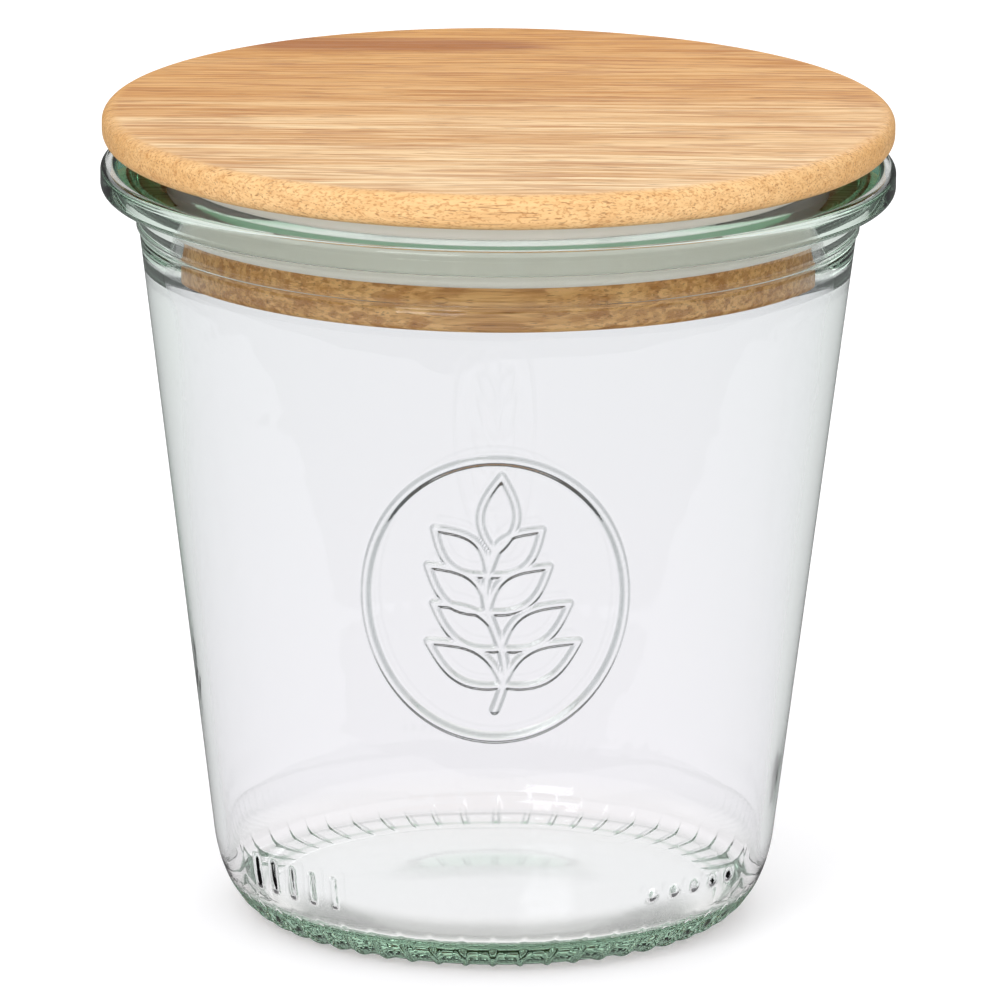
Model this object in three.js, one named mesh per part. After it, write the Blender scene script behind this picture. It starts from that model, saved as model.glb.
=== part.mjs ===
// A glass canning jar with a flanged rim, closed by a turned wooden plug lid and a clear silicone seal.
// Millimetres, +Z up. The jar stands on z = 0 and its axis is the Z axis.
// Every piece is a revolve of a profile drawn as (radius, height).

import * as THREE from 'three';
import { mergeVertices } from 'three/addons/utils/BufferGeometryUtils.js';

// Jar: the mouth and the rim around it
const JAR_HEIGHT = 86.2;
const MOUTH_DIAMETER = 71.6;
const MOUTH_LAND = 2.7;
const MOUTH_ROUND = 0.6;
const RIM_WIDTH = 8.7;
const LIP_ROUND = 0.7;
const LIP_FLAT = 0.5;
const LIP_SLOPE = 0.8;
const LEDGE_DEPTH = 0.5;
const FLANGE_HEIGHT = 2.9;
const FLANGE_ROUND = 0.8;
const FLANGE_FILLET = 1.5;

// Jar: the neck band and the tapered body
const NECK_WALL = 4.7;
const NECK_HEIGHT = 4.0;
const NECK_STEP = 0.3;
const BODY_DRAFT_DEG = 6.9;
const WALL_HEAD = 2.9;
const WALL_FOOT = 1.3;
const SHOULDER_DROP = 10.0;

// Jar: the heel, the floor and the ring that it stands on
const HEEL_HEIGHT = 9.4;
const HEEL_RUN = 6.9;
const BEARING_WIDTH = 2.4;
const PUSH_UP = 0.4;
const FLOOR = 3.4;
const FLOOR_CROWN = 0.3;
const CORNER_RISE = 2.0;
const CORNER_RUN = 1.7;
const KNURL_COUNT = 54;
const KNURL_DEPTH = 0.35;

// Lid: a disc and the plug under it, turned from one board
const LID_INSET = 0.1;
const LID_THICKNESS = 4.0;
const LID_TOP_ROUND = 1.3;
const LID_UNDER_ROUND = 1.8;
const PLUG_LENGTH = 12.8;
const PLUG_ROUND = 0.7;
const GROOVE_DEPTH = 1.2;

// Seal: a washer that carries the lid on the ledge, a skirt in the mouth and a rib in the plug's groove
const SEAL_HEIGHT = 2.6;
const SEAL_REACH = 1.4;
const SEAL_ROUND = 0.4;
const SKIRT_WALL = 0.6;
const SKIRT_LENGTH = 5.2;
const RIB_HEIGHT = 1.4;

// Clearance between pieces that fit into each other
const CLEARANCE = 0.3;

// Sides of the revolves: the jar has two for each knurl, a crest and a valley
const JAR_SIDES = 2 * KNURL_COUNT;
const LID_SIDES = 54;

// Steps of the heel's curve, counted from the bearing ring, and how many of them the knurls cover
const HEEL_STEPS = 8;
const KNURL_STEPS = 5;

// Steps of the other curves and rounds
const UNDERSIDE_STEPS = 4;
const ROUND_STEPS = 3;
const LIP_STEPS = 4;
const SHOULDER_STEPS = 5;
const CORNER_STEPS = 6;
const FLOOR_STEPS = 3;
const LID_ROUND_STEPS = 4;
const SEAL_ROUND_STEPS = 2;

// Share of a quarter ellipse's axis that its Bezier handle takes
const QUARTER_HANDLE = 0.5523;

// Radii that follow from the mouth outwards
const mouthR = MOUTH_DIAMETER / 2;
const rimR = mouthR + RIM_WIDTH;
const neckR = mouthR + NECK_WALL;
const bodyTopR = neckR - NECK_STEP;
const sealR = mouthR + SEAL_REACH;
const skirtR = mouthR - CLEARANCE;
const skirtInnerR = skirtR - SKIRT_WALL;
const plugR = skirtInnerR - CLEARANCE;
const lidR = rimR - LID_INSET;

// Heights that follow from the jar's top and from the ledge that carries the seal and the lid
const ledgeZ = JAR_HEIGHT - LEDGE_DEPTH;
const flangeZ = JAR_HEIGHT - FLANGE_HEIGHT;
const neckZ = flangeZ - NECK_HEIGHT;
const bodyTopZ = neckZ - NECK_STEP;
const mouthLandZ = ledgeZ - MOUTH_ROUND - MOUTH_LAND;
const shoulderZ = mouthLandZ - SHOULDER_DROP;
const underLidZ = ledgeZ + SEAL_HEIGHT;
const lidTopZ = underLidZ + LID_THICKNESS;
const plugZ = underLidZ - PLUG_LENGTH;
const ribZ = ledgeZ + SEAL_HEIGHT / 2;

// The body's outer radius falls with its draft from the neck to the heel
const draft = Math.tan(THREE.MathUtils.degToRad(BODY_DRAFT_DEG));
const bodyR = (z) => bodyTopR - draft * (bodyTopZ - z);
const heelR = bodyR(HEEL_HEIGHT);
const bearingR = heelR - HEEL_RUN;
const bearingInnerR = bearingR - BEARING_WIDTH;

const point = (r, z) => new THREE.Vector2(r, z);

// Points of a cubic curve, with its handles given as offsets from its two ends.
function curve(start, startHandle, endHandle, end, steps) {
  const first = start.clone().add(startHandle);
  const second = end.clone().add(endHandle);
  return new THREE.CubicBezierCurve(start, first, second, end).getPoints(steps);
}

// Points of a round arc about a centre, from one angle to another in degrees, 0 being outwards and 90 up.
function arc(r, z, radius, fromDeg, toDeg, steps) {
  const from = THREE.MathUtils.degToRad(fromDeg);
  const to = THREE.MathUtils.degToRad(toDeg);
  return new THREE.EllipseCurve(r, z, radius, radius, from, to, to < from).getPoints(steps);
}

// A solid of revolution, turned so that the profile's heights lie along Z, with one position for each corner.
function revolve(profile, sides) {
  const geometry = new THREE.LatheGeometry(profile, sides);
  geometry.rotateX(Math.PI / 2);
  geometry.deleteAttribute('normal');
  geometry.deleteAttribute('uv');
  return geometry;
}

// A named piece from a revolve, with the seam's and the axis's doubled corners joined.
function piece(name, revolved, material) {
  const geometry = mergeVertices(revolved);
  geometry.computeVertexNormals();
  const mesh = new THREE.Mesh(geometry, material);
  mesh.name = name;
  return mesh;
}

// The outer heel, from the bearing ring round to the wall, where it takes on the body's draft.
function heelCurve() {
  const rise = QUARTER_HANDLE * HEEL_HEIGHT;
  const alongFloor = point(QUARTER_HANDLE * HEEL_RUN, 0);
  const alongWall = point(-draft * rise, -rise);
  return curve(point(bearingR, 0), alongFloor, alongWall, point(heelR, HEEL_HEIGHT), HEEL_STEPS);
}

// Underside: a shallow push-up that runs out level into the flat bearing ring.
function undersideProfile() {
  const half = bearingInnerR / 2;
  return curve(point(0, PUSH_UP), point(half, 0), point(-half, 0), point(bearingInnerR, 0), UNDERSIDE_STEPS);
}

// Outside of the neck and the flange, up to the widest point of the rim.
function flangeProfile() {
  return [
    point(bodyTopR, bodyTopZ),
    point(neckR, neckZ),
    ...arc(neckR + FLANGE_FILLET, flangeZ - FLANGE_FILLET, FLANGE_FILLET, 180, 90, ROUND_STEPS),
    ...arc(rimR - FLANGE_ROUND, flangeZ + FLANGE_ROUND, FLANGE_ROUND, -90, 0, ROUND_STEPS),
  ];
}

// Top of the rim: the raised lip, the slope behind it, the recessed ledge and the rounded edge of the mouth.
function rimProfile() {
  const lipInner = point(rimR - LIP_ROUND - LIP_FLAT, JAR_HEIGHT);
  const ledgeOuter = point(lipInner.x - LIP_SLOPE, ledgeZ);
  const half = LIP_SLOPE / 2;
  return [
    ...arc(rimR - LIP_ROUND, JAR_HEIGHT - LIP_ROUND, LIP_ROUND, 0, 90, ROUND_STEPS),
    ...curve(lipInner, point(-half, 0), point(half, 0), ledgeOuter, LIP_STEPS),
    ...arc(mouthR + MOUTH_ROUND, ledgeZ - MOUTH_ROUND, MOUTH_ROUND, 90, 180, ROUND_STEPS),
  ];
}

// Inside: the mouth's land, the slow shoulder below it, the wall, the corner and the crowned floor.
// The wall thins from the shoulder down to the corner.
function insideProfile() {
  const wallTop = point(bodyR(shoulderZ) - WALL_HEAD, shoulderZ);
  const cornerZ = FLOOR + CORNER_RISE;
  const wallFoot = point(bodyR(cornerZ) - WALL_FOOT, cornerZ);
  const innerDraft = (wallTop.x - wallFoot.x) / (shoulderZ - cornerZ);
  const floorEdge = point(wallFoot.x - CORNER_RUN, FLOOR);
  const shoulderHandle = SHOULDER_DROP / 2;
  const rise = QUARTER_HANDLE * CORNER_RISE;
  return [
    ...curve(
      point(mouthR, mouthLandZ),
      point(0, -shoulderHandle),
      point(innerDraft * shoulderHandle, shoulderHandle),
      wallTop,
      SHOULDER_STEPS,
    ),
    ...curve(
      wallFoot,
      point(-innerDraft * rise, -rise),
      point(QUARTER_HANDLE * CORNER_RUN, 0),
      floorEdge,
      CORNER_STEPS,
    ),
    ...curve(
      floorEdge,
      point(-floorEdge.x / 3, 0),
      point(floorEdge.x / 3, 0),
      point(0, FLOOR + FLOOR_CROWN),
      FLOOR_STEPS,
    ).slice(1),
  ];
}

// Lifts every second meridian of the heel's lower steps, so that radial bars are left standing round the base.
// The bars are deepest half way along and run out into the bearing ring and into the heel.
function knurl(revolved, profileLength, heelStart) {
  const position = revolved.getAttribute('position');
  for (let i = 0; i < position.count; i += 1) {
    const step = (i % profileLength) - heelStart;
    if (step > 0 && step < KNURL_STEPS) {
      const meridian = Math.floor(i / profileLength);
      const valley = meridian % 2;
      const depth = KNURL_DEPTH * Math.sin((Math.PI * step) / KNURL_STEPS);
      position.setZ(i, position.getZ(i) + depth * valley);
    }
  }
}

function jar() {
  const glass = new THREE.MeshStandardMaterial({
    color: 0xdce9e1,
    roughness: 0.03,
    metalness: 0,
    transparent: true,
    opacity: 0.4,
  });
  const underside = undersideProfile();
  const profile = [
    ...underside,
    ...heelCurve(),
    ...flangeProfile(),
    ...rimProfile(),
    ...insideProfile(),
  ];
  const revolved = revolve(profile, JAR_SIDES);
  knurl(revolved, profile.length, underside.length);
  return piece('jar', revolved, glass);
}

// The disc rests on the seal; a square groove in the plug takes the seal's rib.
function lid() {
  const wood = new THREE.MeshStandardMaterial({ color: 0xe0b87c, roughness: 0.6, metalness: 0 });
  const grooveR = plugR - GROOVE_DEPTH;
  const grooveHalf = RIB_HEIGHT / 2 + CLEARANCE;
  const profile = [
    point(0, plugZ),
    ...arc(plugR - PLUG_ROUND, plugZ + PLUG_ROUND, PLUG_ROUND, -90, 0, ROUND_STEPS),
    point(plugR, ribZ - grooveHalf),
    point(grooveR, ribZ - grooveHalf),
    point(grooveR, ribZ + grooveHalf),
    point(plugR, ribZ + grooveHalf),
    point(plugR, underLidZ),
    ...arc(lidR - LID_UNDER_ROUND, underLidZ + LID_UNDER_ROUND, LID_UNDER_ROUND, -90, 0, LID_ROUND_STEPS),
    ...arc(lidR - LID_TOP_ROUND, lidTopZ - LID_TOP_ROUND, LID_TOP_ROUND, 0, 90, LID_ROUND_STEPS),
    point(0, lidTopZ),
  ];
  return piece('lid', revolve(profile, LID_SIDES), wood);
}

// The washer lies between ledge and disc, the skirt hangs in the mouth and the rib sits in the groove.
function seal() {
  const silicone = new THREE.MeshStandardMaterial({
    color: 0xeef0ee,
    roughness: 0.35,
    metalness: 0,
    transparent: true,
    opacity: 0.6,
  });
  const ribR = plugR - GROOVE_DEPTH + CLEARANCE;
  const ribHalf = RIB_HEIGHT / 2;
  const foot = point(skirtInnerR, ledgeZ - SKIRT_LENGTH);
  const profile = [
    foot,
    point(skirtR, foot.y),
    point(skirtR, ledgeZ),
    ...arc(sealR - SEAL_ROUND, ledgeZ + SEAL_ROUND, SEAL_ROUND, -90, 0, SEAL_ROUND_STEPS),
    ...arc(sealR - SEAL_ROUND, underLidZ - SEAL_ROUND, SEAL_ROUND, 0, 90, SEAL_ROUND_STEPS),
    point(skirtInnerR, underLidZ),
    point(skirtInnerR, ribZ + ribHalf),
    point(ribR, ribZ + ribHalf),
    point(ribR, ribZ - ribHalf),
    point(skirtInnerR, ribZ - ribHalf),
    foot,
  ];
  return piece('seal', revolve(profile, LID_SIDES), silicone);
}

const group = new THREE.Group();
group.name = 'canning_jar';
group.add(jar(), lid(), seal());

export default group;
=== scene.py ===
"""Dresses a canning jar: a moulded glass body, a turned wooden plug lid and a silicone seal.

Sizes are in millimetres, as (radius, height) on profiles, until a mesh is made in Blender's own metres.
"""

import logging
import math
from dataclasses import dataclass, field
from enum import Enum
from typing import Callable, Mapping, Sequence, Union

import bpy
import numpy as np
from mathutils import Matrix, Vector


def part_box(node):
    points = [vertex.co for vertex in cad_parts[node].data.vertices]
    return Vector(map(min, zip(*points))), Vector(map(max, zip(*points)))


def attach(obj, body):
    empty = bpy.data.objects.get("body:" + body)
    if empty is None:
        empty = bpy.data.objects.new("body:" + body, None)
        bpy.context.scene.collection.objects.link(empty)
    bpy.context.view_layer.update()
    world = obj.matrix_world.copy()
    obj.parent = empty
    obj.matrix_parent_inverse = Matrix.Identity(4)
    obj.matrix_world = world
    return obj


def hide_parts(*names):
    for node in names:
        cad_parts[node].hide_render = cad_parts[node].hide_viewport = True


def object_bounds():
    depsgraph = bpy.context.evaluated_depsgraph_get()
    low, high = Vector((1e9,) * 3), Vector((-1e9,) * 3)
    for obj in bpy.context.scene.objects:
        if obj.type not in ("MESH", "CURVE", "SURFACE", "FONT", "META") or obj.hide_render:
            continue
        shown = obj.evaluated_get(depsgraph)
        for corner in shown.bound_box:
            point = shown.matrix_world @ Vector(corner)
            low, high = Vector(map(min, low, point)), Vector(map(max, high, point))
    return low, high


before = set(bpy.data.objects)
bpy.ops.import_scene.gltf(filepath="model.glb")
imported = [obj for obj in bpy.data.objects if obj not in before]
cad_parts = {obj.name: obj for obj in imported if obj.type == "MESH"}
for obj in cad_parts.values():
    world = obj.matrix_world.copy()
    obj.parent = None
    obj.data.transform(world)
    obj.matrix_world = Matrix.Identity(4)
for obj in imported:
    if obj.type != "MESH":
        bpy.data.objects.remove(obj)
CAD_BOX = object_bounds()

MM = 0.001
# The handle with which a cubic curve follows a quarter of a circle of radius 1.
QUARTER_HANDLE = 0.5523
BACK = math.radians(90.0)
FRONT = math.radians(270.0)
FULL_TURN = 2.0 * math.pi
# The attribute that holds how steeply moulded relief rises.
RELIEF = "relief"

Colour = tuple[float, float, float, float]
Pair = tuple[float, float]
Span = tuple[float, float, float, float]

log = logging.getLogger("canning_jar")


class Body(Enum):
    """The moving bodies of the jar."""

    JAR = "jar"
    CLOSURE = "closure"


class Slot(Enum):
    """The record's material slots."""

    GLASS = "glass"
    WOOD = "wood"
    SILICONE = "silicone"


def paint(code: str) -> Colour:
    """Gives a colour written as six hex digits as linear light.

    Args:
        code: Red, green and blue as they look on a screen, two hex digits each.

    Returns:
        The linear colour, with full alpha.
    """
    shown = np.array([int(code[i:i + 2], 16) for i in (0, 2, 4)]) / 255.0
    light = np.where(shown <= 0.04045, shown / 12.92, ((shown + 0.055) / 1.055) ** 2.4)
    return (float(light[0]), float(light[1]), float(light[2]), 1.0)


# Profiles


def line(start: Pair, end: Pair, steps: int) -> np.ndarray:
    """Gives evenly spaced points from start to end, both included."""
    return np.linspace(start, end, steps + 1)


def arc(centre: Pair, radius: float, from_deg: float, to_deg: float, steps: int) -> np.ndarray:
    """Gives points of a round arc: centre plus radius times (cosine, sine) of evenly spaced angles.

    Args:
        centre: The arc's centre as (radius, height).
        radius: The arc's own radius.
        from_deg: Its first angle, 0 being outwards and 90 upwards.
        to_deg: Its last angle.
        steps: How many chords it has.

    Returns:
        One row for each point.
    """
    angle = np.radians(np.linspace(from_deg, to_deg, steps + 1))
    return np.column_stack((centre[0] + radius * np.cos(angle), centre[1] + radius * np.sin(angle)))


def curve(start: Pair, start_handle: Pair, end_handle: Pair, end: Pair, steps: int) -> np.ndarray:
    """Gives points of a cubic curve: the four control points weighted by Bernstein's polynomials.

    Args:
        start: The curve's first point.
        start_handle: Its handle there, as an offset.
        end_handle: The other handle, as an offset from the last point.
        end: The curve's last point.
        steps: How many chords it has.

    Returns:
        One row for each point.
    """
    t = np.linspace(0.0, 1.0, steps + 1)[:, None]
    first = np.add(start, start_handle)
    second = np.add(end, end_handle)
    return (
        (1 - t) ** 3 * np.array(start)
        + 3 * t * (1 - t) ** 2 * first
        + 3 * t ** 2 * (1 - t) * second
        + t ** 3 * np.array(end)
    )


def chain(*parts: np.ndarray) -> np.ndarray:
    """Joins stretches of a profile and drops points that repeat the one before.

    Args:
        *parts: The stretches in order, one row for each point.

    Returns:
        The whole profile.
    """
    joined = np.vstack(parts)
    moved = np.linalg.norm(np.diff(joined, axis=0), axis=1) > 1e-6
    return joined[np.concatenate(([True], moved))]


def smooth_step(low: float, high: float, value: np.ndarray) -> np.ndarray:
    """Rises from 0 at low to 1 at high along three squares less two cubes."""
    t = np.clip((value - low) / (high - low), 0.0, 1.0)
    return t * t * (3.0 - 2.0 * t)


def even_angles(count: int) -> np.ndarray:
    """Gives count evenly spaced angles of a full turn that starts at the back."""
    return BACK + FULL_TURN * np.arange(count) / count


# Revolved skins


@dataclass
class Run:
    """Rings of a revolved skin that follow each other and share one set of angles.

    Attributes:
        profile: Points as (radius, height), one ring each.
        angles: Rising angles of a full turn that starts at the back.
        lift: Gives how far each point stands out from the profile, from arrays of radius, height and angle.
    """

    profile: np.ndarray
    angles: np.ndarray
    lift: Union[Callable[[np.ndarray, np.ndarray, np.ndarray], np.ndarray], None] = None


class RevolvedSkin:
    """A closed skin around the Z axis, made of runs of rings.

    The profile is walked with the solid on its left, so its outward normal is the tangent turned clockwise.
    """

    def __init__(self, runs: Sequence[Run], closed: bool = False) -> None:
        """Works out all points and faces.

        Args:
            runs: The runs in the order of the profile.
            closed: True where the profile closes on itself, False where it starts and ends on the axis.
        """
        self.runs = runs
        self.points: list[np.ndarray] = []
        self.steepness: list[np.ndarray] = []
        self.faces: list[np.ndarray] = []
        self.total = 0
        normals = self._profile_normals(closed)
        rings = [self._add_rings(run, normal) for run, normal in zip(runs, normals)]
        for lower, upper, before, after in zip(rings, rings[1:], runs, runs[1:]):
            self._zip(lower[-1], upper[0], before.angles, after.angles)
        if closed:
            self._zip(rings[-1][-1], rings[0][0], runs[-1].angles, runs[0].angles)
        else:
            self._cap(rings[0][0], first=True)
            self._cap(rings[-1][-1], first=False)

    def _profile_normals(self, closed: bool) -> list[np.ndarray]:
        """Gives outward normals: the central difference of a point's neighbours, turned clockwise.

        Args:
            closed: True where the first and the last point are neighbours.

        Returns:
            Unit normals of the profile points, one array for each run.
        """
        whole = np.vstack([run.profile for run in self.runs])
        if closed:
            tangent = np.roll(whole, -1, axis=0) - np.roll(whole, 1, axis=0)
        else:
            tangent = np.gradient(whole, axis=0)
        tangent /= np.linalg.norm(tangent, axis=1, keepdims=True)
        normal = np.column_stack((tangent[:, 1], -tangent[:, 0]))
        ends = np.cumsum([len(run.profile) for run in self.runs])[:-1]
        return np.split(normal, ends)

    def _add_rings(self, run: Run, normal: np.ndarray) -> np.ndarray:
        """Adds a run's points and the quads between its rings.

        Args:
            run: The run.
            normal: Outward normals of its profile points.

        Returns:
            Point numbers, one row for each ring.
        """
        radius = np.repeat(run.profile[:, :1], len(run.angles), axis=1)
        height = np.repeat(run.profile[:, 1:], len(run.angles), axis=1)
        angle = np.broadcast_to(run.angles, radius.shape)
        steep = np.zeros_like(radius)
        if run.lift is not None:
            out = run.lift(radius, height, angle)
            steep = self._slope(out, run)
            radius = radius + out * normal[:, :1]
            height = height + out * normal[:, 1:]
        grid = np.stack((radius * np.cos(angle), radius * np.sin(angle), height), axis=-1)
        self.points.append(grid.reshape(-1, 3))
        self.steepness.append(steep.ravel())
        number = self.total + np.arange(radius.size).reshape(radius.shape)
        self.total += radius.size
        ahead = np.roll(number, -1, axis=1)
        quads = np.stack((number[:-1], ahead[:-1], ahead[1:], number[1:]), axis=-1)
        self.faces.append(quads.reshape(-1, 4))
        return number

    def _slope(self, out: np.ndarray, run: Run) -> np.ndarray:
        """Gives how steeply relief rises: the length of its gradient along the profile and round the axis.

        Args:
            out: How far each point stands out.
            run: The run that the points belong to.

        Returns:
            The slope at each point.
        """
        step = np.linalg.norm(np.diff(run.profile, axis=0), axis=1)
        along = np.concatenate(([0.0], np.cumsum(step)))
        rise = np.gradient(out, along, axis=0)
        round_axis = np.gradient(out, run.angles, axis=1) / run.profile[:, :1]
        return np.hypot(rise, round_axis)

    def _zip(self, lower: np.ndarray, upper: np.ndarray, below: np.ndarray, above: np.ndarray) -> None:
        """Joins two rings of different angles by triangles, stepping on along the ring that is behind.

        Args:
            lower: Point numbers of the first ring.
            upper: Point numbers of the second ring.
            below: The first ring's angles.
            above: The second ring's angles.
        """
        lower_end = np.append(below[1:], below[0] + FULL_TURN)
        upper_end = np.append(above[1:], above[0] + FULL_TURN)
        met = np.searchsorted(upper_end, lower_end, side="left") % len(upper)
        along_lower = np.column_stack((lower, np.roll(lower, -1), upper[met]))
        met = np.searchsorted(lower_end, upper_end, side="right") % len(lower)
        along_upper = np.column_stack((lower[met], np.roll(upper, -1), upper))
        self.faces.extend((along_lower, along_upper))

    def _cap(self, ring: np.ndarray, first: bool) -> None:
        """Closes the skin on the axis with a fan of triangles round a point at the ring's height.

        Args:
            ring: Point numbers of the ring.
            first: True for the profile's first ring, False for its last.
        """
        height = self.runs[0 if first else -1].profile[0 if first else -1, 1]
        self.points.append(np.array([[0.0, 0.0, height]]))
        self.steepness.append(np.zeros(1))
        pole = np.full_like(ring, self.total)
        self.total += 1
        ahead = np.roll(ring, -1)
        self.faces.append(np.column_stack((pole, ahead, ring) if first else (ring, ahead, pole)))

    def make(self, name: str) -> bpy.types.Object:
        """Puts the points and faces into a new smooth mesh object, in metres.

        Args:
            name: The piece's name.

        Returns:
            The object, at the origin.
        """
        points = np.vstack(self.points) * MM
        corners = np.concatenate([block.ravel() for block in self.faces])
        sides = np.concatenate([np.full(len(block), block.shape[1]) for block in self.faces])
        mesh = bpy.data.meshes.new(name)
        mesh.vertices.add(len(points))
        mesh.vertices.foreach_set("co", points.ravel().astype(np.float32))
        mesh.loops.add(len(corners))
        mesh.loops.foreach_set("vertex_index", corners.astype(np.int32))
        mesh.polygons.add(len(sides))
        mesh.polygons.foreach_set("loop_start", (np.cumsum(sides) - sides).astype(np.int32))
        mesh.polygons.foreach_set("use_smooth", np.ones(len(sides), bool))
        mesh.update(calc_edges=True)
        slope = mesh.attributes.new(RELIEF, "FLOAT", "POINT")
        slope.data.foreach_set("value", np.concatenate(self.steepness).astype(np.float32))
        mesh.validate()
        piece = bpy.data.objects.new(name, mesh)
        bpy.context.scene.collection.objects.link(piece)
        log.info("%s: %d triangles", name, int(np.sum(sides - 2)))
        return piece


# Shader nodes


class Wire:
    """The value of one socket in a node tree. Arithmetic on wires and numbers adds Math nodes."""

    def __init__(self, graph: "NodeGraph", socket: bpy.types.NodeSocket) -> None:
        """Wraps a socket of a graph."""
        self.graph = graph
        self.socket = socket

    def math(self, operation: str, *values: "Value") -> "Wire":
        """Adds a Math node on the given values."""
        return self.graph.node("ShaderNodeMath", {"operation": operation}, dict(enumerate(values)))

    def __add__(self, other: "Value") -> "Wire":
        """Adds."""
        return self.math("ADD", self, other)

    def __radd__(self, other: "Value") -> "Wire":
        """Adds, with the number first."""
        return self.math("ADD", other, self)

    def __sub__(self, other: "Value") -> "Wire":
        """Subtracts."""
        return self.math("SUBTRACT", self, other)

    def __rsub__(self, other: "Value") -> "Wire":
        """Subtracts from a number."""
        return self.math("SUBTRACT", other, self)

    def __mul__(self, other: "Value") -> "Wire":
        """Multiplies."""
        return self.math("MULTIPLY", self, other)

    def __rmul__(self, other: "Value") -> "Wire":
        """Multiplies, with the number first."""
        return self.math("MULTIPLY", other, self)

    def __pow__(self, other: "Value") -> "Wire":
        """Raises to a power."""
        return self.math("POWER", self, other)

    def larger(self, other: "Value") -> "Wire":
        """Gives the larger of two values."""
        return self.math("MAXIMUM", self, other)

    def ramp(self, low: float, high: float) -> "Wire":
        """Rises smoothly from 0 at low to 1 at high, or falls where low is the higher one.

        Args:
            low: The value at which the ramp is 0.
            high: The value at which it is 1.

        Returns:
            The ramp, which stays at 0 and 1 beyond its ends.
        """
        settings = {"interpolation_type": "SMOOTHSTEP"}
        inputs = {"Value": self, "From Min": min(low, high), "From Max": max(low, high)}
        risen = self.graph.node("ShaderNodeMapRange", settings, inputs)
        return risen if low < high else 1.0 - risen

    def plateau(self, start: float, full: float, last: float, end: float) -> "Wire":
        """Rises smoothly from 0 at start to 1 at full, and falls from 1 at last to 0 at end."""
        return self.ramp(start, full) * self.ramp(end, last)

    def hill(self, centre: float, half_width: float) -> "Wire":
        """Rises smoothly to 1 at the centre and falls to 0 half a width to either side."""
        return self.plateau(centre - half_width, centre, centre, centre + half_width)


Value = Union[Wire, float]


class NodeGraph:
    """A node tree that is built by expressions."""

    def __init__(self, tree: bpy.types.NodeTree) -> None:
        """Starts with an empty tree."""
        tree.nodes.clear()
        self.tree = tree

    def node(
        self,
        kind: str,
        settings: Union[Mapping[str, object], None] = None,
        inputs: Union[Mapping[Union[str, int], object], None] = None,
        output: Union[str, int] = 0,
    ) -> Wire:
        """Adds a node.

        Args:
            kind: The node's type.
            settings: Its properties, set first.
            inputs: Values or wires by socket name or number.
            output: The output socket that is wanted.

        Returns:
            That output.
        """
        made = self.tree.nodes.new(kind)
        for name, value in (settings or {}).items():
            setattr(made, name, value)
        for key, value in (inputs or {}).items():
            if isinstance(value, Wire):
                self.tree.links.new(value.socket, made.inputs[key])
            else:
                made.inputs[key].default_value = value
        return Wire(self, made.outputs[output])

    def place(self) -> Wire:
        """Gives the point in the object's own frame, in millimetres."""
        metres = self.node("ShaderNodeTexCoord", output="Object")
        return self.stretch(metres, (1.0 / MM,) * 3)

    def stretch(self, vector: Wire, scale: tuple[float, float, float]) -> Wire:
        """Multiplies a vector by a scale along each axis."""
        return self.node("ShaderNodeVectorMath", {"operation": "MULTIPLY"}, {0: vector, 1: scale})

    def split(self, vector: Wire) -> tuple[Wire, Wire, Wire]:
        """Gives a vector's components.

        Args:
            vector: The vector.

        Returns:
            Its X, its Y and its Z.
        """
        first = self.node("ShaderNodeSeparateXYZ", inputs={0: vector})
        outputs = first.socket.node.outputs
        return first, Wire(self, outputs[1]), Wire(self, outputs[2])

    def join(self, x: Value, y: Value, z: Value) -> Wire:
        """Makes a vector of three components."""
        return self.node("ShaderNodeCombineXYZ", inputs={0: x, 1: y, 2: z})

    def noise(self, vector: Wire, scale: tuple[float, float, float], detail: float = 2.0) -> Wire:
        """Gives noise between about 0 and 1, with scale cells for each millimetre along each axis."""
        inputs = {"Vector": self.stretch(vector, scale), "Scale": 1.0, "Detail": detail}
        return self.node("ShaderNodeTexNoise", inputs=inputs)

    def blend(self, share: Value, first: Union[Wire, Colour], second: Union[Wire, Colour]) -> Wire:
        """Mixes two colours, with share of the second."""
        return self.node("ShaderNodeMix", {"data_type": "RGBA"}, {0: share, 6: first, 7: second}, 2)

    def bump(self, height: Wire, depth: float, strength: float) -> Wire:
        """Turns a height between 0 and 1 into a normal, for a relief of that depth in millimetres."""
        inputs = {"Strength": strength, "Distance": depth * MM, "Height": height}
        return self.node("ShaderNodeBump", inputs=inputs)

    def output(self, kind: str, links: Mapping[str, Wire]) -> None:
        """Adds the output node.

        Args:
            kind: The node's type.
            links: Wires by the name of the socket that they feed.
        """
        end = self.tree.nodes.new(kind)
        for name, wire in links.items():
            self.tree.links.new(wire.socket, end.inputs[name])


def new_material(name: str) -> tuple[bpy.types.Material, NodeGraph]:
    """Makes a material.

    Args:
        name: The material's name.

    Returns:
        The material and its empty graph.
    """
    material = bpy.data.materials.new(name)
    material.use_nodes = True
    return material, NodeGraph(material.node_tree)


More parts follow.
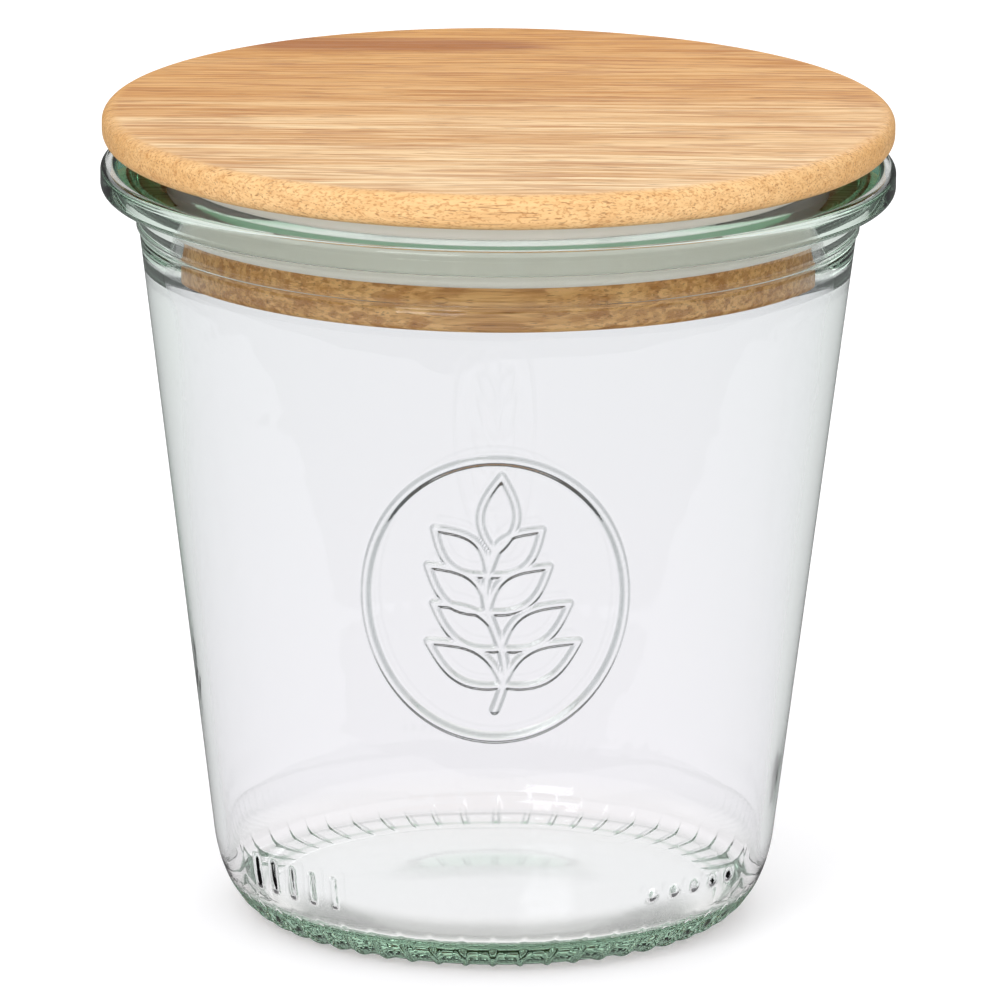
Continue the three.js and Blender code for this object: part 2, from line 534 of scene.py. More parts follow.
@dataclass(frozen=True)
class GlassFinish:
    """Clear soda glass: bright, with a green cast where light goes a long way through it, and painted shade
    on its skin at the ledge, the heel's foot and the flanks of relief.

    Attributes:
        index: Refractive index.
        loss: Share of red, green and blue lost for each millimetre.
        wall_cast: Colour of the thin wall's skin, a cool one against the body's green.
        thick_cast: Colour of the skin at the rim and the heel.
        ledge_green_and_shade: Colour painted on the ledge: the glass's deep green, darkened as painted shade
            under the lid.
        heel_green_and_shade: Colour painted on the heel's lowest band: the glass's green, darkened as painted
            shade where the heel meets the floor.
        flank_shade: Grey painted on the steep flanks of moulded relief, painted shade for the dark lines that
            the glass refracts there.
        flank_slopes: Slopes between which that colour sets in.
        wall_heights: Heights at which the thin wall starts, is whole, is still whole and ends.
        ledge_heights: Heights between which the ledge's colour sets in.
        ledge_radii: Radii at which it starts, is whole, is still whole and ends.
        heel_heights: Heights between which the heel's colour sets in, downwards.
        heel_radii: Radii between which it sets in.
        ripple_depth: Depth of the skin's slow waves, in millimetres.
        ripple_size: Waves for each millimetre.
    """

    index: float = 1.52
    loss: tuple[float, float, float] = (0.013, 0.005, 0.0102)
    wall_cast: Colour = (0.99, 0.972, 1.0, 1.0)
    thick_cast: Colour = (1.0, 0.98, 0.985, 1.0)
    ledge_green_and_shade: Colour = (0.012, 0.09, 0.035, 1.0)
    heel_green_and_shade: Colour = (0.05, 0.22, 0.08, 1.0)
    flank_shade: Colour = (0.30, 0.32, 0.33, 1.0)
    flank_slopes: Pair = (0.2, 1.1)
    wall_heights: Span = (4.5, 9.0, 76.0, 79.0)
    ledge_heights: Pair = (85.3, 85.6)
    ledge_radii: Span = (38.8, 39.6, 43.0, 43.5)
    heel_heights: Pair = (0.8, 0.2)
    heel_radii: Pair = (25.5, 26.5)
    ripple_depth: float = 0.012
    ripple_size: float = 0.16

    def material(self) -> bpy.types.Material:
        """Makes the material: a smooth refracting surface over an absorbing body.

        Returns:
            The material.
        """
        material, graph = new_material("moulded_glass")
        place = graph.place()
        across, deep, height = graph.split(place)
        radius = (across * across + deep * deep) ** 0.5
        waves = graph.noise(place, (self.ripple_size, self.ripple_size, self.ripple_size * 0.5), 2.0)
        haze = graph.noise(place, (0.05, 0.05, 0.03), 3.0).ramp(0.45, 0.8)
        slope = graph.node("ShaderNodeAttribute", {"attribute_name": RELIEF}, output="Fac")
        ledge = height.ramp(*self.ledge_heights) * radius.plateau(*self.ledge_radii)
        heel = height.ramp(*self.heel_heights) * radius.ramp(*self.heel_radii)
        cast = graph.blend(height.plateau(*self.wall_heights), self.thick_cast, self.wall_cast)
        # Painted shade: the ledge under the lid gets a dark green, darker than the glass's own green.
        cast = graph.blend(ledge, cast, self.ledge_green_and_shade)
        # Painted shade: the heel's lowest band gets a dark green where it meets the floor.
        cast = graph.blend(heel, cast, self.heel_green_and_shade)
        # Painted shade: the steep flanks of relief get a grey, for the dark lines that the glass refracts
        # there.
        cast = graph.blend(0.9 * slope.ramp(*self.flank_slopes), cast, self.flank_shade)
        surface = graph.node("ShaderNodeBsdfPrincipled", inputs={
            "Base Color": cast,
            "Roughness": 0.012 * haze,
            "IOR": self.index,
            "Transmission Weight": 1.0,
            "Normal": graph.bump(waves, self.ripple_depth, 0.6),
        })
        densest = max(self.loss)
        tint = tuple(1.0 - share / densest for share in self.loss) + (1.0,)
        inside = graph.node("ShaderNodeVolumeAbsorption", inputs={"Color": tint, "Density": densest / MM})
        graph.output("ShaderNodeOutputMaterial", {"Surface": surface, "Volume": inside})
        return material


@dataclass(frozen=True)
class GrainLayer:
    """Marks of one kind in the wood: noise that is drawn out along the grain and cut to a mask.

    Attributes:
        along: Noise cells for each millimetre along the grain.
        across: Noise cells for each millimetre across it.
        detail: Octaves of finer noise.
        low: Noise at which the mask sets in.
        high: Noise at which it is full.
    """

    along: float
    across: float
    detail: float
    low: float
    high: float

    def mask(self, graph: NodeGraph, grain: Wire) -> Wire:
        """Gives the layer's mask, between 0 and 1, at places in the grain."""
        noise = graph.noise(grain, (self.along, self.across, self.across), self.detail)
        return noise.ramp(self.low, self.high)


@dataclass(frozen=True)
class WoodFinish:
    """Oiled light hardwood, with its grain along X: fine lines on top, dots round the edge, and painted light
    on the plug.

    Attributes:
        back_tone: The board's darker colour, towards the back, also laid over the rounded edge.
        front_tone: Its paler colour, towards the front.
        plug: A brighter, warmer tone on the plug, painted light for the light that reaches it through the
            glass.
        streak: Colour of the bands and the streaks.
        deep: Colour of the fine lines, the dots and the dark streak.
        pore: Colour of the open pores.
        bands: Broad, slow changes of tone.
        streaks: Long, soft streaks.
        threads: The finest lines.
        dashes: Short, dark lines.
        dots: Fibres that are cut across, on the edge.
        pores: Open pores.
        side_change: Depths, from the back to the front, over which the darker colour turns to the paler one.
        edge_squares: Squares of the radii between which the top turns into the rounded edge.
        plug_light_heights: Heights between which the painted light on the plug sets in, downwards.
        dark_depth: Middle and half width, from front to back, of the dark streak at the back.
        dark_reach: Where, along the grain, it starts, is whole, is still whole and ends.
        smudge_depth: Middle and half width, from front to back, of a small dark smudge.
        smudge_reach: Middle and half width of the smudge along the grain.
    """

    back_tone: Colour = paint("d89f52")
    front_tone: Colour = paint("f8dbac")
    plug: Colour = paint("eda536")
    streak: Colour = paint("c98a3c")
    deep: Colour = paint("a6631a")
    pore: Colour = paint("7c4b1f")
    bands: GrainLayer = GrainLayer(0.004, 0.085, 3.0, 0.34, 0.66)
    streaks: GrainLayer = GrainLayer(0.018, 0.8, 4.0, 0.42, 0.64)
    threads: GrainLayer = GrainLayer(0.05, 1.9, 3.0, 0.46, 0.58)
    dashes: GrainLayer = GrainLayer(0.06, 1.0, 3.0, 0.53, 0.60)
    dots: GrainLayer = GrainLayer(1.8, 4.2, 1.0, 0.50, 0.66)
    pores: GrainLayer = GrainLayer(0.22, 4.4, 2.0, 0.58, 0.70)
    side_change: Pair = (38.0, -44.0)
    edge_squares: Pair = (1790.0, 1880.0)
    plug_light_heights: Pair = (88.3, 87.9)
    dark_depth: Pair = (33.5, 5.5)
    dark_reach: Span = (-34.0, -24.0, -6.0, 10.0)
    smudge_depth: Pair = (18.0, 2.2)
    smudge_reach: Pair = (29.0, 6.0)

    def material(self) -> bpy.types.Material:
        """Makes the material: layers of marks over a board that pales from back to front, and painted light
        on the plug.

        Returns:
            The material.
        """
        material, graph = new_material("oiled_wood")
        place = graph.place()
        x, y, z = graph.split(place)
        sway = graph.noise(place, (0.012, 0.035, 0.035), 2.0) - 0.5
        wander = graph.noise(place, (0.05, 0.25, 0.25), 2.0) - 0.5
        grain = graph.join(x, y + 6.0 * sway + 0.8 * wander, z + 3.0 * sway)
        bands = self.bands.mask(graph, grain)
        streaks = self.streaks.mask(graph, grain)
        threads = self.threads.mask(graph, grain)
        dashes = self.dashes.mask(graph, grain)
        pores = self.pores.mask(graph, grain)
        edge = (x * x + y * y).ramp(*self.edge_squares)
        face = 1.0 - 0.75 * edge
        dots = self.dots.mask(graph, grain) * edge
        dark_streak = y.hill(*self.dark_depth) * x.plateau(*self.dark_reach)
        smudge = x.hill(*self.smudge_reach) * y.hill(*self.smudge_depth)
        # The board is darker towards the back and paler towards the front, with the bands blurring the
        # change.
        frontward = (y + 14.0 * (bands - 0.5)).ramp(*self.side_change)
        colour = graph.blend(frontward, self.back_tone, self.front_tone)
        for share, tone in (
            # Painted light: the plug is lifted to a brighter, warmer tone under the disc.
            (0.55 * z.ramp(*self.plug_light_heights), self.plug),
            (0.20 * bands, self.streak),
            (0.50 * edge, self.back_tone),
            (0.55 * streaks * face, self.streak),
            (0.42 * threads * face, self.deep),
            (0.50 * dashes * face, self.deep),
            (0.45 * dots, self.deep),
            ((3.2 * dark_streak + 0.6 * smudge) * (0.4 + 0.6 * streaks), self.deep),
            (0.55 * pores, self.pore),
        ):
            colour = graph.blend(share, colour, tone)
        relief = 0.5 * threads + pores
        surface = graph.node("ShaderNodeBsdfPrincipled", inputs={
            "Base Color": colour,
            "Roughness": 0.46 + 0.16 * threads,
            "IOR": 1.45,
            "Normal": graph.bump(1.0 - 0.66 * relief, 0.06, 0.5),
        })
        graph.output("ShaderNodeOutputMaterial", {"Surface": surface})
        return material


@dataclass(frozen=True)
class SiliconeFinish:
    """Pale silicone that lets a little light through; its milky white is partly painted highlight, for the
    bright reflections of the clear seal.

    Attributes:
        index: Refractive index.
        body: Colour of the clearer parts, a milky white that is partly painted highlight.
        cloud: Colour of the cloudier parts, a milky white that is partly painted highlight.
        clearness: Share of light that goes through.
    """

    index: float = 1.41
    body: Colour = paint("fffaf2")
    cloud: Colour = paint("fbf3e8")
    clearness: float = 0.10

    def material(self) -> bpy.types.Material:
        """Makes the material: a soft refracting body with a faint cloud in it.

        Returns:
            The material.
        """
        material, graph = new_material("clear_silicone")
        cloud = graph.noise(graph.place(), (0.25, 0.25, 0.25), 3.0)
        # Painted highlight: much of the seal's milky white stands in for the bright reflections of clear
        # silicone.
        surface = graph.node("ShaderNodeBsdfPrincipled", inputs={
            "Base Color": graph.blend(cloud, self.body, self.cloud),
            "Roughness": 0.10 + 0.10 * cloud,
            "IOR": self.index,
            "Transmission Weight": self.clearness,
        })
        graph.output("ShaderNodeOutputMaterial", {"Surface": surface})
        return material


def dress(piece: bpy.types.Object, material: bpy.types.Material, body: Body, node: str) -> None:
    """Gives a piece its finish, and puts it on its body in place of a CAD node.

    Args:
        piece: The finished mesh object.
        material: Its material.
        body: The body that it moves with.
        node: The CAD node that it stands for.
    """
    piece.data.materials.append(material)
    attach(piece, body.value)
    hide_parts(node)


# The jar


@dataclass(frozen=True)
class Ridge:
    """A raised line of the mould, about half round across its width.

    Attributes:
        height: How far it stands out.
        half_width: Half of its width at the foot.
    """

    height: float = 0.55
    half_width: float = 0.62

    def lift(self, distance: np.ndarray) -> np.ndarray:
        """Gives the height at a distance from the line: a quarter of a cosine, out to the half width."""
        share = np.clip(distance / self.half_width, 0.0, 1.0)
        return self.height * np.cos(0.5 * np.pi * share)


def distance_to(u: np.ndarray, v: np.ndarray, path: np.ndarray) -> np.ndarray:
    """Gives each point's distance to a path: the least of its distances to the path's straight pieces.

    Along a piece the nearest point is the offset's share of the piece's length, kept between 0 and 1.

    Args:
        u: The points' first coordinate.
        v: Their second coordinate.
        path: The path's corners, one row each.

    Returns:
        Distances in the shape of u.
    """
    start = path[:-1]
    step = np.diff(path, axis=0)
    offset_u = u[..., None] - start[:, 0]
    offset_v = v[..., None] - start[:, 1]
    along = (offset_u * step[:, 0] + offset_v * step[:, 1]) / np.sum(step ** 2, axis=1)
    along = np.clip(along, 0.0, 1.0)
    return np.hypot(offset_u - along * step[:, 0], offset_v - along * step[:, 1]).min(axis=-1)


@dataclass(frozen=True)
class SprigMedallion:
    """A plain moulded ornament on the front: an oval line round a sprig with paired leaves.

    Attributes:
        centre_height: Height of the oval's centre over the table.
        half_width: Half of the oval's width.
        half_height: Half of its height, up the wall.
        stem_bottom: Height of the stem's foot over the centre.
        stem_top: Height of its tip.
        stem_bow: How far the stem bows to either side.
        leaf_length: Length of the leaf at the tip.
        leaf_half_width: Half of a leaf's width.
        leaf_pairs: How many pairs of leaves there are.
        leaf_steps: Chords of each side of a leaf.
        line: The ridge of the oval and the stem.
        fine_line: The ridge of the leaves.
    """

    centre_height: float = 45.2
    half_width: float = 14.6
    half_height: float = 16.4
    stem_bottom: float = -13.0
    stem_top: float = 5.6
    stem_bow: float = 1.1
    leaf_length: float = 9.0
    leaf_half_width: float = 2.0
    leaf_pairs: int = 4
    leaf_steps: int = 14
    line: Ridge = field(default_factory=Ridge)
    fine_line: Ridge = field(default_factory=lambda: Ridge(0.45, 0.52))

    def stem(self, share: np.ndarray) -> np.ndarray:
        """Gives points of the stem, which bows sideways by a sine on its way up."""
        height = self.stem_bottom + share * (self.stem_top - self.stem_bottom)
        return np.column_stack((self.stem_bow * np.sin(2.0 * np.pi * share), height))

    def leaf(self, foot: np.ndarray, lean_deg: float, length: float) -> np.ndarray:
        """Gives a leaf's outline, an almond: its half width follows a sine along its length.

        Args:
            foot: Where the leaf starts.
            lean_deg: Its direction, in degrees from upright towards the right.
            length: Its length.

        Returns:
            The outline's corners, closed at the foot.
        """
        share = np.linspace(0.0, 1.0, self.leaf_steps + 1)
        half = self.leaf_half_width * np.sin(np.pi * share ** 0.9)
        along = np.concatenate((share, share[-2::-1])) * length
        across = np.concatenate((half, -half[-2::-1]))
        lean = math.radians(lean_deg)
        ahead = np.array([math.sin(lean), math.cos(lean)])
        aside = np.array([math.cos(lean), -math.sin(lean)])
        return foot + along[:, None] * ahead + across[:, None] * aside

    def leaves(self) -> list[np.ndarray]:
        """Gives all leaf outlines: pairs that get smaller up the stem, and one at its tip.

        Returns:
            One closed outline for each leaf.
        """
        outlines = [self.leaf(self.stem(np.array([1.0]))[0], 4.0, self.leaf_length)]
        for share in np.linspace(0.16, 0.86, self.leaf_pairs):
            foot = self.stem(np.array([share]))[0]
            length = self.leaf_length * (1.12 - 0.28 * share)
            outlines += [self.leaf(foot, side * (62.0 - 16.0 * share), length) for side in (-1.0, 1.0)]
        return outlines

    def lift(self, u: np.ndarray, v: np.ndarray) -> np.ndarray:
        """Gives the relief's height at places across and up from the medallion's centre.

        The oval's distance is how far the place's own scaled radius is from 1, over that radius's slope.

        Args:
            u: Distances to the right of the centre.
            v: Distances up from it.

        Returns:
            The lift in millimetres.
        """
        scaled = np.sqrt((u / self.half_width) ** 2 + (v / self.half_height) ** 2) + 1e-9
        slope = np.hypot(u / self.half_width ** 2, v / self.half_height ** 2) / scaled + 1e-9
        raised = self.line.lift(np.abs(scaled - 1.0) / slope)
        stem = self.stem(np.linspace(0.0, 1.0, 25))
        raised = np.maximum(raised, self.line.lift(distance_to(u, v, stem)))
        for outline in self.leaves():
            raised = np.maximum(raised, self.fine_line.lift(distance_to(u, v, outline)))
        return raised


@dataclass(frozen=True)
class MouldMarks:
    """Plain marks low on the wall, left and right of the front: a row of upright bars and a row of pips.

    Attributes:
        height: Height of the rows' middle over the table.
        first_deg: Degrees from the front to the first mark.
        step_deg: Degrees from one mark to the next.
        count: How many marks a row has.
        bar_half_length: Half of a bar's length.
        line: The ridge of a bar.
        pip: The rise of a pip.
        reach: How far the fine skin goes on above the middle.
    """

    height: float = 8.7
    first_deg: float = 34.0
    step_deg: float = 5.6
    count: int = 5
    bar_half_length: float = 1.5
    line: Ridge = field(default_factory=lambda: Ridge(0.34, 0.5))
    pip: Ridge = field(default_factory=lambda: Ridge(0.42, 0.75))
    reach: float = 3.0

    def lift(self, around_deg: np.ndarray, up: np.ndarray, radius: np.ndarray) -> np.ndarray:
        """Gives the marks' height: the ridge over the distance to a bar's line or a pip's centre.

        Args:
            around_deg: Degrees from the front towards the right.
            up: Heights above the marks' middle.
            radius: The wall's radius.

        Returns:
            The lift in millimetres.
        """
        raised = np.zeros_like(up)
        beyond = np.maximum(np.abs(up) - self.bar_half_length, 0.0)
        for number in range(self.count):
            turn = self.first_deg + number * self.step_deg
            from_bar = np.radians(around_deg + turn) * radius
            from_pip = np.radians(around_deg - turn) * radius
            raised = np.maximum(raised, self.line.lift(np.hypot(from_bar, beyond)))
            raised = np.maximum(raised, self.pip.lift(np.hypot(from_pip, up)))
        return raised


@dataclass
class JarGlass:
    """The moulded glass body: one closed skin from the push-up, round heel, wall and rim, to the inner floor.

    Its height and its rim come from the frame.

    Attributes:
        finish: The glass.
        medallion: The ornament on the front.
        marks: The marks low on the wall.
        mouth_radius: Radius of the mouth.
        mouth_land: Height of the straight wall in the mouth.
        mouth_round: Radius of the mouth's edge.
        lip_round: Radius of the lip's outer edge.
        lip_flat: Width of the lip's top.
        lip_slope: Width of the slope from the lip to the ledge.
        ledge_depth: Depth of the ledge under the lip.
        flange_height: Height of the flange.
        flange_round: Radius of the flange's lower edge.
        flange_fillet: Radius of the hollow between flange and neck.
        neck_wall: Thickness of the glass at the neck.
        neck_height: Height of the neck band.
        neck_step: Size of the step from the neck band to the wall.
        draft_deg: Lean of the wall.
        wall_head: Thickness of the wall under the shoulder.
        wall_foot: Thickness of the wall over the corner.
        shoulder_drop: Height of the shoulder inside.
        heel_height: Height of the heel.
        heel_run: How far the heel reaches out from the bearing ring.
        bearing_width: Width of the bearing ring.
        push_up: Height of the push-up.
        floor: Thickness of the floor.
        floor_crown: How far the floor rises to its middle.
        corner_rise: Height of the corner inside.
        corner_run: Width of the corner inside.
        knurl_count: How many knurls there are.
        knurl_depth: How deep the heel is sunk between them.
        knurl_half_width: Half of a knurl's width at its foot.
        knurl_run: How far the knurls reach out from the bearing ring.
        knurl_top: Height under which the heel is knurled.
        wave_depth: Depth of the waves that blowing leaves inside.
    """

    finish: GlassFinish = GlassFinish()
    medallion: SprigMedallion = SprigMedallion()
    marks: MouldMarks = MouldMarks()
    mouth_radius: float = 35.8
    mouth_land: float = 2.7
    mouth_round: float = 0.6
    lip_round: float = 0.7
    lip_flat: float = 0.5
    lip_slope: float = 0.8
    ledge_depth: float = 0.5
    flange_height: float = 2.9
    flange_round: float = 0.8
    flange_fillet: float = 1.5
    neck_wall: float = 4.7
    neck_height: float = 4.0
    neck_step: float = 0.3
    draft_deg: float = 6.9
    wall_head: float = 2.9
    wall_foot: float = 1.3
    shoulder_drop: float = 10.0
    heel_height: float = 9.4
    heel_run: float = 6.9
    bearing_width: float = 2.4
    push_up: float = 0.4
    floor: float = 3.4
    floor_crown: float = 0.3
    corner_rise: float = 2.0
    corner_run: float = 1.7
    knurl_count: int = 54
    knurl_depth: float = 0.35
    knurl_half_width: float = 0.6
    knurl_run: float = 5.9
    knurl_top: float = 5.7
    wave_depth: float = 0.05

    def __post_init__(self) -> None:
        """Takes the jar's height and rim from the frame and works out what follows from them."""
        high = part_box("jar")[1]
        self.height = high.z / MM
        self.rim_radius = high.x / MM
        self.neck_radius = self.mouth_radius + self.neck_wall
        self.ledge_z = self.height - self.ledge_depth
        self.flange_z = self.height - self.flange_height
        self.neck_z = self.flange_z - self.neck_height
        self.body_top = (self.neck_radius - self.neck_step, self.neck_z - self.neck_step)
        self.draft = math.tan(math.radians(self.draft_deg))
        self.land_z = self.ledge_z - self.mouth_round - self.mouth_land
        self.shoulder_z = self.land_z - self.shoulder_drop
        self.bearing_radius = self.body_radius(self.heel_height) - self.heel_run
        self.bearing_inner = self.bearing_radius - self.bearing_width

    def body_radius(self, height: float) -> float:
        """Gives the wall's outer radius: the neck's, less the draft for each millimetre below it."""
        return self.body_top[0] - self.draft * (self.body_top[1] - height)

    def underside(self) -> np.ndarray:
        """Gives the push-up, from close to the axis to the bearing ring."""
        inner = self.bearing_inner
        return curve((0.0, self.push_up), (0.5 * inner, 0.0), (-0.5 * inner, 0.0), (inner, 0.0), 24)[1:]

    def heel(self) -> np.ndarray:
        """Gives the bearing ring and the heel, up to where the wall takes on its draft.

        Returns:
            Profile points: a flat line, and a cubic curve that ends along the wall.
        """
        rise = QUARTER_HANDLE * self.heel_height
        foot = (self.bearing_radius, 0.0)
        top = (self.body_radius(self.heel_height), self.heel_height)
        bend = curve(foot, (QUARTER_HANDLE * self.heel_run, 0.0), (-self.draft * rise, -rise), top, 44)
        return chain(line((self.bearing_inner + 0.3, 0.0), foot, 5), bend)

    def knurls(self, radius: np.ndarray, height: np.ndarray, angle: np.ndarray) -> np.ndarray:
        """Gives the knurls' lift: narrow radial bars with the heel sunk between them.

        Across a bar the heel rises as a squared cosine; along the heel the depth follows a sine.

        Args:
            radius: The points' radii.
            height: Their heights, which the knurls don't depend on.
            angle: Their angles.

        Returns:
            The lift, which is negative between the bars.
        """
        turn = FULL_TURN / self.knurl_count
        from_bar = np.abs((angle - BACK + 0.5 * turn) % turn - 0.5 * turn) * radius
        bar = np.cos(0.5 * np.pi * np.clip(from_bar / self.knurl_half_width, 0.0, 1.0)) ** 2
        run = np.clip((radius - self.bearing_radius) / self.knurl_run, 0.0, 1.0)
        return -self.knurl_depth * (1.0 - bar) * np.sin(np.pi * run ** 0.8)

    def stamped(self, radius: np.ndarray, height: np.ndarray, angle: np.ndarray) -> np.ndarray:
        """Gives the mould marks' lift on the lower wall."""
        return self.marks.lift(np.degrees(angle - FRONT), height - self.marks.height, radius)

    def ornament(self, radius: np.ndarray, height: np.ndarray, angle: np.ndarray) -> np.ndarray:
        """Gives the medallion's lift on the wall, measured round the wall and up its slope.

        Args:
            radius: The points' radii.
            height: Their heights.
            angle: Their angles.

        Returns:
            The lift, 0 away from the medallion.
        """
        around = radius * (angle - FRONT)
        up = (height - self.medallion.centre_height) * math.hypot(1.0, self.draft)
        near = np.abs(around) < self.medallion.half_width + 2.0
        raised = np.zeros_like(around)
        raised[near] = self.medallion.lift(around[near], up[near])
        return raised

    def taper(self, low: float, high: float, steps: int) -> np.ndarray:
        """Gives the tapered wall between two heights."""
        return line((self.body_radius(low), low), (self.body_radius(high), high), steps)

    def sector_angles(self, half_deg: float, steps: int, rest: int) -> np.ndarray:
        """Gives angles of a full turn: close together over a sector at the front, wider apart elsewhere.

        Args:
            half_deg: Half of the sector, in degrees.
            steps: Steps over the sector.
            rest: Steps over the rest of each side.

        Returns:
            Rising angles from the back round to the back.
        """
        half = math.radians(half_deg)
        left = np.linspace(BACK, FRONT - half, rest + 1)[:-1]
        sector = np.linspace(FRONT - half, FRONT + half, steps + 1)
        right = np.linspace(FRONT + half, BACK + FULL_TURN, rest + 1)[1:-1]
        return np.concatenate((left, sector, right))

    def rim(self) -> np.ndarray:
        """Gives the neck band, the flange, the raised lip, the ledge and the mouth's rounded edge.

        Returns:
            Profile points: straight lines and round arcs, with a cubic curve for the lip's slope.
        """
        neck, rim, top = self.neck_radius, self.rim_radius, self.height
        fillet, edge, lip = self.flange_fillet, self.flange_round, self.lip_round
        lip_inner = (rim - lip - self.lip_flat, top)
        ledge_outer = (lip_inner[0] - self.lip_slope, self.ledge_z)
        half = 0.5 * self.lip_slope
        return chain(
            line(self.body_top, (neck, self.neck_z), 3),
            line((neck, self.neck_z), (neck, self.flange_z - fillet), 5),
            arc((neck + fillet, self.flange_z - fillet), fillet, 180.0, 90.0, 8),
            arc((rim - edge, self.flange_z + edge), edge, -90.0, 0.0, 8),
            arc((rim - lip, top - lip), lip, 0.0, 90.0, 8),
            curve(lip_inner, (-half, 0.0), (half, 0.0), ledge_outer, 8),
            line(ledge_outer, (self.mouth_radius + self.mouth_round, self.ledge_z), 4),
            arc((self.mouth_radius + self.mouth_round, self.ledge_z - self.mouth_round),
                self.mouth_round, 90.0, 180.0, 5),
        )

    def inside(self) -> np.ndarray:
        """Gives the mouth's land, the shoulder, the inner wall, the corner and the floor.

        Returns:
            Profile points, almost to the axis: straight lines, with cubic curves for the rest.
        """
        wall_top = (self.body_radius(self.shoulder_z) - self.wall_head, self.shoulder_z)
        corner_z = self.floor + self.corner_rise
        foot = (self.body_radius(corner_z) - self.wall_foot, corner_z)
        edge = (foot[0] - self.corner_run, self.floor)
        lean = (wall_top[0] - foot[0]) / (wall_top[1] - foot[1])
        half = 0.5 * self.shoulder_drop
        rise = QUARTER_HANDLE * self.corner_rise
        third = edge[0] / 3.0
        land = (self.mouth_radius, self.land_z)
        return chain(
            line((self.mouth_radius, self.ledge_z - self.mouth_round - 0.2), land, 3),
            curve(land, (0.0, -half), (lean * half, half), wall_top, 10),
            line(wall_top, foot, 16),
            curve(foot, (-lean * rise, -rise), (QUARTER_HANDLE * self.corner_run, 0.0), edge, 14),
            curve(edge, (-third, 0.0), (third, 0.0), (0.4, self.floor + self.floor_crown), 8),
        )

    def waves(self, radius: np.ndarray, height: np.ndarray, angle: np.ndarray) -> np.ndarray:
        """Gives the slow waves that blowing leaves inside: sums of sines round the wall.

        Args:
            radius: The points' radii, which the waves don't depend on.
            height: Their heights.
            angle: Their angles.

        Returns:
            The lift, 0 on the mouth and on the floor.
        """
        inner = smooth_step(self.floor + 2.0, self.floor + 14.0, height)
        inner = inner * (1.0 - smooth_step(self.shoulder_z - 6.0, self.land_z, height))
        slow = np.sin(3.0 * angle + 0.05 * height) + 0.7 * np.sin(7.0 * angle - 0.04 * height + 1.0)
        quick = 0.4 * np.sin(13.0 * angle + 0.07 * height + 2.0)
        return self.wave_depth * inner * (slow + quick)

    def knurl_angles(self) -> np.ndarray:
        """Gives ten angles for each knurl, closest together at the bar.

        Returns:
            Rising angles from the back round to the back.
        """
        share = np.array([0.0, 0.045, 0.09, 0.14, 0.20, 0.5, 0.80, 0.86, 0.91, 0.955])
        start = np.arange(self.knurl_count)[:, None]
        return BACK + FULL_TURN * (start + share).ravel() / self.knurl_count

    def build(self) -> bpy.types.Object:
        """Builds the jar's mesh and dresses it.

        Returns:
            The piece.
        """
        heel = self.heel()
        knurled = heel[heel[:, 1] < self.knurl_top]
        marks_high = self.marks.height + self.marks.reach
        marks_low = self.taper(self.heel_height, marks_high, 14)
        stamped = chain(heel[heel[:, 1] >= self.knurl_top], marks_low)
        marks_deg = self.marks.first_deg + self.marks.count * self.marks.step_deg
        reach = self.medallion.half_height + 0.8
        low, high = self.medallion.centre_height - reach, self.medallion.centre_height + reach
        half_turn = (self.medallion.half_width + 0.8) / self.body_radius(self.medallion.centre_height)
        front = self.sector_angles(math.degrees(half_turn), 156, 40)
        skin = RevolvedSkin([
            Run(self.underside(), even_angles(180)),
            Run(knurled, self.knurl_angles(), self.knurls),
            Run(stamped, self.sector_angles(marks_deg, 220, 40), self.stamped),
            Run(self.taper(marks_high + 1.0, low - 0.5, 7), even_angles(180)),
            Run(self.taper(low, high, 172), front, self.ornament),
            Run(self.taper(high + 0.5, self.body_top[1] - 0.4, 8), even_angles(180)),
            Run(self.rim(), even_angles(240)),
            Run(self.inside(), even_angles(200), self.waves),
        ])
        piece = skin.make("glass_jar")
        dress(piece, self.finish.material(), Body.JAR, "jar")
        return piece


# The closure


@dataclass
class WoodenLid:
    """The lid: a disc with rounded edges and the grooved plug under it, turned from one board.

    Attributes:
        finish: The wood.
        disc_thickness: Thickness of the disc.
        top_round: Radius of its upper edge.
        under_round: Radius of its lower edge.
        plug_radius: Radius of the plug.
        plug_round: Radius of the plug's lower edge.
        groove_depth: Depth of the groove that holds the seal.
        groove_height: Height of the groove.
        groove_middle: Height of its middle over the table.
        sides: Points round the axis.
    """

    finish: WoodFinish = WoodFinish()
    disc_thickness: float = 4.0
    top_round: float = 1.3
    under_round: float = 1.8
    plug_radius: float = 34.6
    plug_round: float = 0.7
    groove_depth: float = 1.2
    groove_height: float = 2.0
    groove_middle: float = 87.0
    sides: int = 288

    def profile(self) -> np.ndarray:
        """Gives the lid's outline from the plug's underside round to the top.

        Returns:
            Profile points, almost to the axis at both ends: straight lines and round arcs.
        """
        low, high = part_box("lid")
        radius, plug_z, top = high.x / MM, low.z / MM, high.z / MM
        under = top - self.disc_thickness
        plug, groove = self.plug_radius, self.plug_radius - self.groove_depth
        foot = self.groove_middle - 0.5 * self.groove_height
        head = self.groove_middle + 0.5 * self.groove_height
        return chain(
            line((0.4, plug_z), (plug - self.plug_round, plug_z), 12),
            arc((plug - self.plug_round, plug_z + self.plug_round), self.plug_round, -90.0, 0.0, 6),
            line((plug, plug_z + self.plug_round), (plug, foot), 6),
            line((plug, foot), (groove, foot), 3),
            line((groove, foot), (groove, head), 3),
            line((groove, head), (plug, head), 3),
            line((plug, head), (plug, under), 3),
            line((plug, under), (radius - self.under_round, under), 6),
            arc((radius - self.under_round, under + self.under_round), self.under_round, -90.0, 0.0, 10),
            arc((radius - self.top_round, top - self.top_round), self.top_round, 0.0, 90.0, 10),
            line((radius - self.top_round, top), (0.4, top), 14),
        )

    def build(self) -> bpy.types.Object:
        """Builds the lid's mesh and dresses it.

        Returns:
            The piece.
        """
        piece = RevolvedSkin([Run(self.profile(), even_angles(self.sides))]).make("wooden_lid")
        dress(piece, self.finish.material(), Body.CLOSURE, "lid")
        return piece


